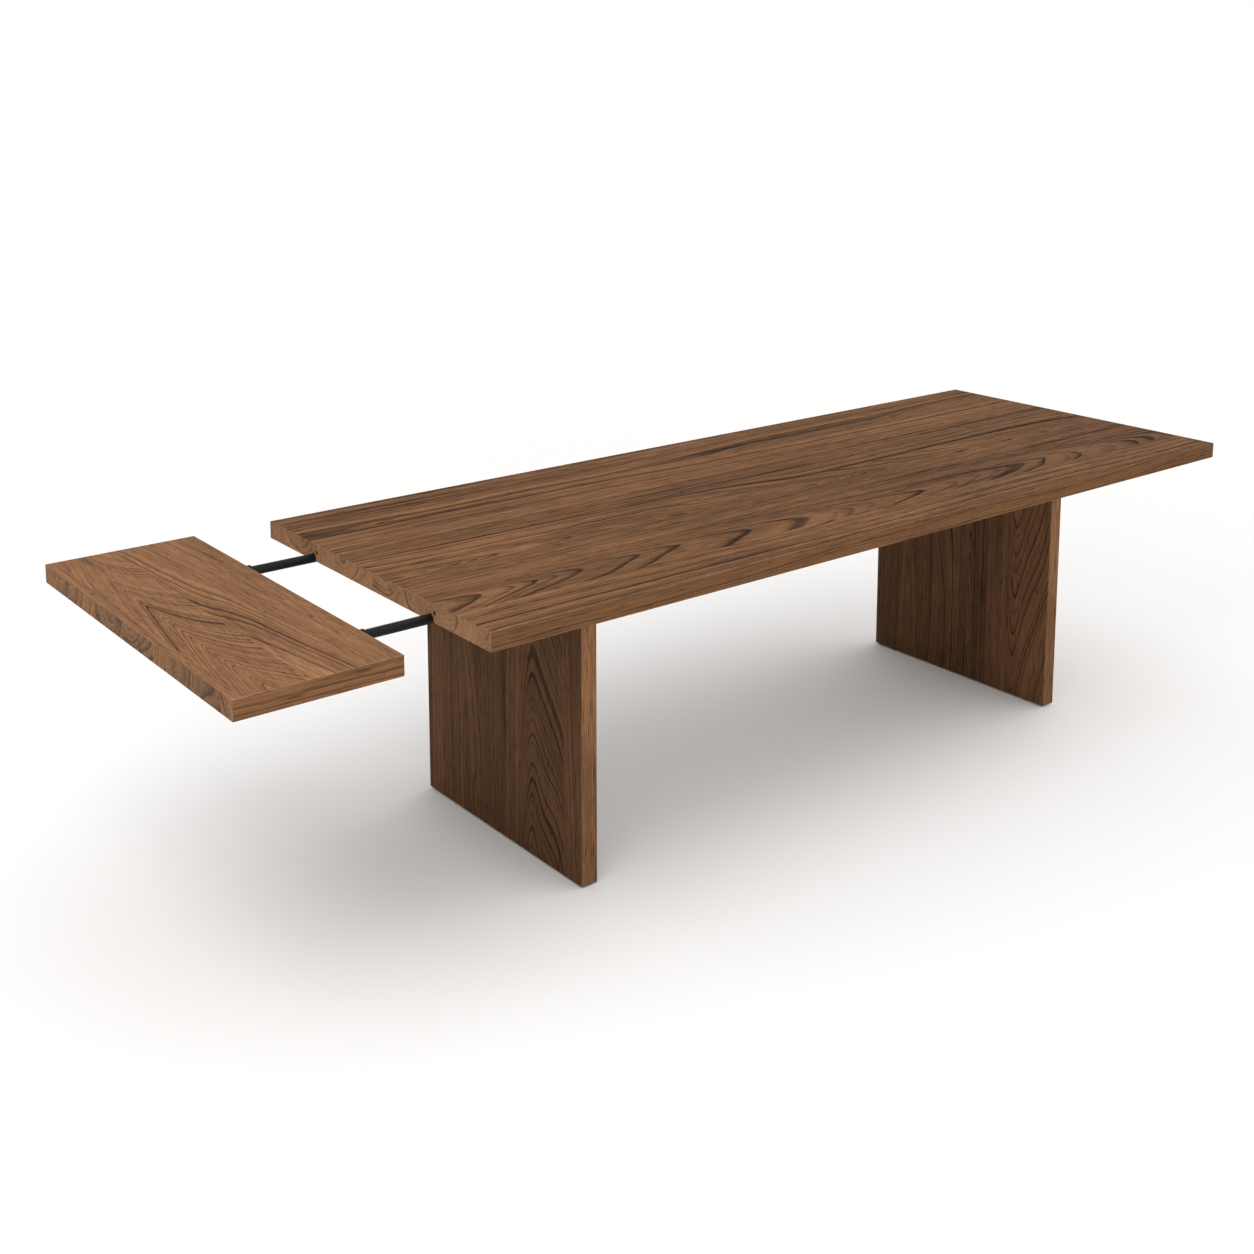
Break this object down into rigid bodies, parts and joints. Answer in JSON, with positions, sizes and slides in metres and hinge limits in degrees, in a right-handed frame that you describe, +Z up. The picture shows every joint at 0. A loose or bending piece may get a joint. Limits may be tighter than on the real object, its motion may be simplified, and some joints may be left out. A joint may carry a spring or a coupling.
{
  "type": "extendable dining table",
  "caption": "Long walnut slab dining table on panel legs, with an end leaf that slides in on steel runner tubes.",
  "frame": {"origin": "on the floor, under the middle of the whole object's box with the leaf drawn out as modelled", "axes": "+X along the table's length, away from the leaf; +Y across the table; +Z up"},
  "size_m": [3.16, 1, 0.75],
  "materials": {
    "top_walnut": "oiled walnut staves, satin",
    "leaf_walnut": "oiled walnut, satin, a little lighter than the top",
    "leg_walnut": "oiled walnut staves, grain upright, satin",
    "black_steel": "black powder coat, satin",
    "plated_steel": "zinc-plated screws",
    "black_acetal": "black acetal, moulded and cut"
  },
  "bodies": {
    "table": {"guide_block_back_inner": "black_acetal", "guide_block_back_outer": "black_acetal", "guide_block_front_inner": "black_acetal", "guide_block_front_outer": "black_acetal", "guide_screw_back_inner_1": "plated_steel", "guide_screw_back_inner_2": "plated_steel", "guide_screw_back_outer_1": "plated_steel", "guide_screw_back_outer_2": "plated_steel", "guide_screw_front_inner_1": "plated_steel", "guide_screw_front_inner_2": "plated_steel", "guide_screw_front_outer_1": "plated_steel", "guide_screw_front_outer_2": "plated_steel", "leg_bracket_far_end": "black_steel", "leg_bracket_leaf_end": "black_steel", "leg_panel_far_end": "leg_walnut", "leg_panel_leaf_end": "leg_walnut", "leg_screw_far_end_1": "plated_steel", "leg_screw_far_end_2": "plated_steel", "leg_screw_far_end_3": "plated_steel", "leg_screw_leaf_end_1": "plated_steel", "leg_screw_leaf_end_2": "plated_steel", "leg_screw_leaf_end_3": "plated_steel", "levelling_foot_far_end_back": "black_acetal", "levelling_foot_far_end_front": "black_acetal", "levelling_foot_leaf_end_back": "black_acetal", "levelling_foot_leaf_end_front": "black_acetal", "stiffener_1": "black_steel", "stiffener_2": "black_steel", "stiffener_screw_1_1": "plated_steel", "stiffener_screw_1_2": "plated_steel", "stiffener_screw_1_3": "plated_steel", "stiffener_screw_2_1": "plated_steel", "stiffener_screw_2_2": "plated_steel", "stiffener_screw_2_3": "plated_steel", "tabletop": "top_walnut", "top_screw_far_end_1": "plated_steel", "top_screw_far_end_2": "plated_steel", "top_screw_far_end_3": "plated_steel", "top_screw_leaf_end_1": "plated_steel", "top_screw_leaf_end_2": "plated_steel", "top_screw_leaf_end_3": "plated_steel"},
    "leaf_body": {"leaf": "leaf_walnut", "locating_pin_back": "black_steel", "locating_pin_front": "black_steel", "runner_tube_back": "black_steel", "runner_tube_front": "black_steel", "tube_cap_back_inner": "black_acetal", "tube_cap_back_outer": "black_acetal", "tube_cap_front_inner": "black_acetal", "tube_cap_front_outer": "black_acetal", "tube_screw_back_inner": "plated_steel", "tube_screw_back_outer": "plated_steel", "tube_screw_front_inner": "plated_steel", "tube_screw_front_outer": "plated_steel"}
  },
  "joints": [
    {"name": "leaf_slide", "type": "slide", "parent": "table", "child": "leaf_body", "axis": [1, 0, 0], "range_m": [-0.072, 0.1995]}
  ]
}
